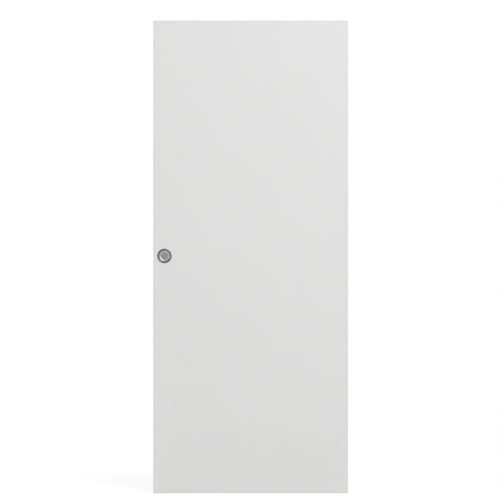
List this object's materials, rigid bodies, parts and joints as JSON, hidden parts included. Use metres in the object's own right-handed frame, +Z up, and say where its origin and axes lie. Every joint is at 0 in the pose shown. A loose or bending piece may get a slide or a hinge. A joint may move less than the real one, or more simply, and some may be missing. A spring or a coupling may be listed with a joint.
{
  "type": "sliding door leaf",
  "caption": "Flat flush sliding door leaf with white painted facings on a timber frame, a round recessed metal pull near the leading edge on each face, and a floor guide groove underneath.",
  "frame": {"origin": "the middle of the leaf's top edge, on the flat top face that the hanger plates are screwed to", "axes": "+Z up, X along the slide with the leading edge and the pulls at -X, and -Y out of the front face"},
  "size_m": [0.84, 0.044, 2.04],
  "materials": {
    "painted_board": "hardboard with matt white paint",
    "edge_band": "satin white plastic band",
    "pine": "planed softwood, raw",
    "honeycomb_paper": "unbleached paper honeycomb",
    "plated_cup": "plated, darker on the flange than in the bowl",
    "satin_cap": "satin, turned",
    "screw_steel": "bright zinc plate"
  },
  "bodies": {
    "root": {"front_facing": "painted_board", "back_facing": "painted_board", "leading_edge_band": "edge_band", "trailing_edge_band": "edge_band", "leading_stile": "pine", "trailing_stile": "pine", "top_rail": "pine", "bottom_rail": "pine", "pull_block": "pine", "honeycomb_core": "honeycomb_paper", "front_pull_cup": "plated_cup", "front_pull_cap": "satin_cap", "front_pull_screws": "screw_steel", "back_pull_cup": "plated_cup", "back_pull_cap": "satin_cap", "back_pull_screws": "screw_steel"}
  },
  "joints": []
}
